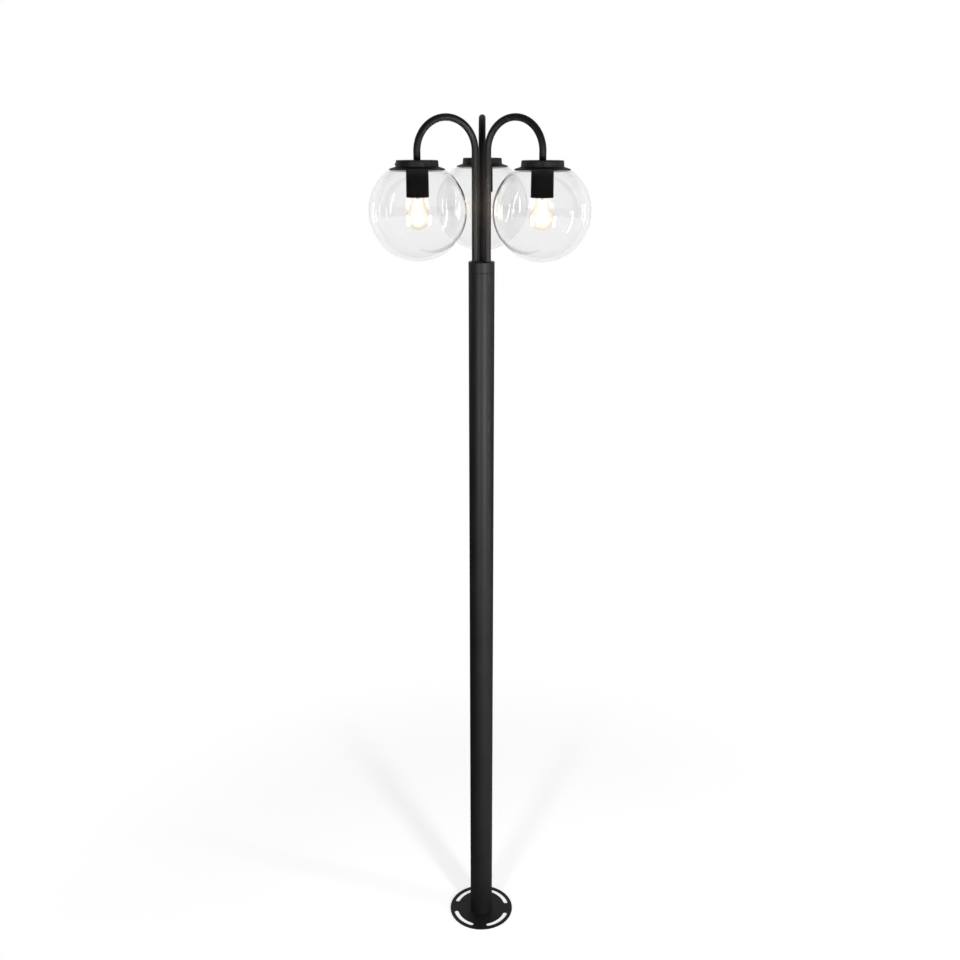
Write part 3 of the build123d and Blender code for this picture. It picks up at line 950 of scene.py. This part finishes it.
@dataclass
class HolderShell:
    """The lampholder's threaded shell, sized in millimetres."""

    lamp: Lamp
    shop: Workshop
    radius: float = 13.6
    wall: float = 0.7
    plain_foot: float = 5.0
    plain_top: float = 3.0
    segments: int = 60

    def build(self) -> Piece:
        """Build the shell in place of its plain solid.

        Returns:
            The threaded piece.
        """
        node = f"holder_shell_{self.lamp.value}"
        low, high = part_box(node)
        foot, top = low.z / MM, high.z / MM
        thread = ScrewThread(self.radius, foot + self.plain_foot, top - self.plain_top, sinks=False)
        piece = turned(
            f"threaded_{node}",
            lambda turn: thread.sheet(turn, foot, top, self.wall),
            (low + high) / 2,
            self.segments,
            closed=True,
        )
        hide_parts(node)
        return dress(piece, self.shop.material(NICKEL), "post")


@dataclass
class PartFinishes:
    """Dresses the part's own solids."""

    shop: Workshop

    def build(self) -> None:
        """Give each solid the material of its slot."""
        for entry in frame["record"]["subparts"]:
            node = frame["nodes"][entry["node"]]
            for slot in node.material_slots:
                slot.material = self.shop.material(NODE_FINISHES[entry["material_slot"]])
            LOG.info("solid %s in %s", entry["node"], entry["material_slot"])


@dataclass(frozen=True)
class PaleFloor(Finish):
    """A pale studio floor that keeps the shadow near the post and fades into the white background.

    In the soft mirror of the black paint it is darker on the left than on the right, as painted shade and
    painted light in its colour. Reaches are in metres.
    """

    dull: str = "#f1f1f1"
    pale: str = "#f4f4f4"
    cloud: float = 400.0
    # Painted shade and painted light: the floor's colour in soft mirrored rays, darker on the left and
    # paler on the right.
    shaded_side: str = "#565656"
    lit_side: str = "#d2d2d2"
    side_reach: float = 0.35
    lift: float = 0.5
    fade_start: float = 0.5
    fade_end: float = 1.3

    def surface(self, tree: Tree) -> Socket:
        """Build the shader.

        Args:
            tree: The material's node tree.

        Returns:
            The shader socket.
        """
        sight = Sight(tree)
        place = add_node(tree, "ShaderNodeTexCoord").outputs[Coordinates.OBJECT.value]
        away = add_node(tree, "ShaderNodeVectorMath", {"operation": "LENGTH"}, {0: place})
        fade = add_node(
            tree,
            "ShaderNodeMapRange",
            {"interpolation_type": "SMOOTHSTEP"},
            {"Value": away.outputs["Value"], "From Min": self.fade_start, "From Max": self.fade_end},
        )
        cloud = self.pattern(tree, self.cloud, detail=2.0)
        share = add_node(tree, "ShaderNodeMapRange", {}, {"Value": cloud, **NOISE_RANGE})
        parts = add_node(tree, "ShaderNodeSeparateXYZ", {}, {0: place})
        side = add_node(
            tree,
            "ShaderNodeMapRange",
            {},
            {"Value": parts.outputs["X"], "From Min": -self.side_reach, "From Max": self.side_reach},
        )
        tones = []
        # The second pair is painted shade and painted light, seen only in soft mirrored rays.
        for amount, first, second in (
            (share.outputs["Result"], linear(self.dull), linear(self.pale)),
            (side.outputs["Result"], linear(self.shaded_side), linear(self.lit_side)),
        ):
            inputs = {SHARE: amount, COLOUR_A: first, COLOUR_B: second}
            mix = add_node(tree, "ShaderNodeMix", {"data_type": "RGBA"}, inputs)
            tones.append(mix.outputs[MIXED_COLOUR])
        toned = add_node(
            tree,
            "ShaderNodeMix",
            {"data_type": "RGBA"},
            {SHARE: sight.soft, COLOUR_A: tones[0], COLOUR_B: tones[1]},
        )
        base = add_node(tree, "ShaderNodeBsdfDiffuse", {}, {"Color": toned.outputs[MIXED_COLOUR]})
        lift = add_node(tree, "ShaderNodeMath", {"operation": "MULTIPLY"}, {0: sight.clear, 1: self.lift})
        glow = add_node(tree, "ShaderNodeEmission", {}, {"Strength": lift.outputs[0]})
        near = add_node(tree, "ShaderNodeAddShader", {}, {0: base.outputs[0], 1: glow.outputs[0]})
        white = add_node(tree, "ShaderNodeEmission", {}, {"Strength": 1.0})
        faded = {0: sight.clear, 1: fade.outputs["Result"]}
        far = add_node(tree, "ShaderNodeMath", {"operation": "MULTIPLY"}, faded)
        shaders = {0: far.outputs[0], 1: near.outputs[0], 2: white.outputs[0]}
        return add_node(tree, "ShaderNodeMixShader", {}, shaders).outputs[0]


@dataclass(frozen=True)
class Softbox:
    """One soft studio lamp that faces the post; its bearing is in degrees from the viewer, to the right."""

    name: str
    bearing: float
    height: float
    size: tuple[float, float]
    power: float
    distance: float = 2.6
    aim_height: float = 1.4

    def build(self) -> None:
        """Build the lamp."""
        light = bpy.data.lights.new(self.name, "AREA")
        light.shape = "RECTANGLE"
        light.size, light.size_y = self.size
        light.energy = self.power
        lamp = bpy.data.objects.new(self.name, light)
        turn = math.radians(self.bearing)
        place = Vector((self.distance * math.sin(turn), -self.distance * math.cos(turn), self.height))
        lamp.location = place
        aim = Vector((0.0, 0.0, self.aim_height))
        lamp.rotation_euler = (aim - place).to_track_quat("-Z", "Y").to_euler()
        bpy.context.scene.collection.objects.link(lamp)
        LOG.info("lamp %s", self.name)


SOFTBOXES = (
    Softbox("softbox_right", bearing=31.0, height=1.05, size=(0.3, 1.05), power=36.0),
    Softbox("softbox_left", bearing=-19.0, height=1.05, size=(0.3, 1.05), power=21.5),
    Softbox("strip_right", bearing=74.0, height=1.0, size=(0.16, 1.9), power=14.0),
    Softbox("strip_left", bearing=-70.0, height=1.65, size=(0.25, 0.9), power=1.0),
    Softbox("strip_back_right", bearing=115.0, height=1.65, size=(0.25, 0.9), power=2.5),
    Softbox("strip_back_left", bearing=-118.0, height=1.65, size=(0.25, 0.9), power=2.5),
)


@dataclass
class Studio:
    """Floor, white background, soft lamps and the camera.

    Lengths are in metres and the camera's angles in radians. The reaches of the background are parts of a
    ray's direction: upwards for the ceiling, and away from the viewer for the room.
    """

    shop: Workshop
    floor_half: float = 12.0
    room_light: float = 0.3
    front_dim: float = 0.05
    back_wall: float = 0.42
    sharp_back_wall: float = 0.95
    sharp_ceiling: float = 0.15
    ceiling_reach: tuple[float, float] = (0.3, 0.6)
    room_reach: tuple[float, float] = (-0.1, 0.7)
    camera_place: tuple[float, float, float] = (0.12003, -2.23668, 1.94213)
    camera_yaw: float = 0.0551
    camera_pitch: float = 0.3227
    focal_pixels: float = 1035.17
    frame_pixels: float = 960.0
    sensor_mm: float = 36.0

    def floor(self) -> None:
        """Lay the floor."""
        half = self.floor_half
        places = ((-half, -half), (half, -half), (half, half), (-half, half))
        corners = [Vector((x, y, 0.0)) for x, y in places]
        floor = mesh_piece("studio_floor", corners, [[0, 1, 2, 3]])
        floor.data.materials.append(self.shop.material(PaleFloor("pale_studio_floor")))

    def background(self) -> None:
        """Make the white background, with a dimmer room on the viewer's side for reflections."""
        world = bpy.data.worlds.new("white_studio")
        bpy.context.scene.world = world
        world.use_nodes = True
        tree = world.node_tree
        tree.nodes.clear()
        sight = Sight(tree)
        place = add_node(tree, "ShaderNodeTexCoord").outputs[Coordinates.GENERATED.value]
        parts = add_node(tree, "ShaderNodeSeparateXYZ", {}, {0: place})
        glass_wall = add_node(
            tree,
            "ShaderNodeMapRange",
            {"interpolation_type": "SMOOTHSTEP"},
            {
                "Value": parts.outputs["Z"],
                "From Min": self.ceiling_reach[0],
                "From Max": self.ceiling_reach[1],
                "To Min": self.sharp_back_wall,
                "To Max": self.sharp_ceiling,
            },
        )
        wall = add_node(
            tree,
            "ShaderNodeMix",
            {"data_type": "FLOAT"},
            {SHARE: sight.sharp, VALUE_A: self.back_wall, VALUE_B: glass_wall.outputs["Result"]},
        )
        room = add_node(
            tree,
            "ShaderNodeMapRange",
            {"interpolation_type": "SMOOTHSTEP"},
            {
                "Value": parts.outputs["Y"],
                "From Min": self.room_reach[0],
                "From Max": self.room_reach[1],
                "To Min": self.front_dim,
                "To Max": wall.outputs[MIXED_VALUE],
            },
        )
        level: Any = self.room_light
        for chosen, value in ((sight.mirrored, room.outputs["Result"]), (sight.direct, 1.0)):
            inputs = {SHARE: chosen, VALUE_A: level, VALUE_B: value}
            level = add_node(tree, "ShaderNodeMix", {"data_type": "FLOAT"}, inputs).outputs[MIXED_VALUE]
        light = add_node(tree, "ShaderNodeBackground", {}, {"Color": linear("#ffffff"), "Strength": level})
        add_node(tree, "ShaderNodeOutputWorld", {}, {"Surface": light.outputs["Background"]})

    def camera(self) -> None:
        """Set the camera at the viewer's place."""
        data = bpy.data.cameras.new("viewer")
        data.sensor_width = self.sensor_mm
        data.lens = self.focal_pixels * self.sensor_mm / self.frame_pixels
        camera = bpy.data.objects.new("viewer", data)
        camera.location = self.camera_place
        camera.rotation_euler = (math.pi / 2 - self.camera_pitch, 0.0, self.camera_yaw)
        bpy.context.scene.collection.objects.link(camera)
        bpy.context.scene.camera = camera

    def build(self) -> None:
        """Build the studio."""
        bpy.context.scene.view_settings.view_transform = "Standard"
        self.floor()
        self.background()
        for softbox in SOFTBOXES:
            softbox.build()
        self.camera()


def main() -> None:
    """Build the post light's looks and the studio."""
    logging.basicConfig(level=logging.INFO)
    shop = Workshop()
    PartFinishes(shop).build()
    for lamp in Lamp:
        GlassGlobe(lamp, shop).build()
        Bulb(lamp, shop).build()
        ScrewCap(lamp, shop).build()
        HolderShell(lamp, shop).build()
    Studio(shop).build()


if __name__ == "__main__":
    main()
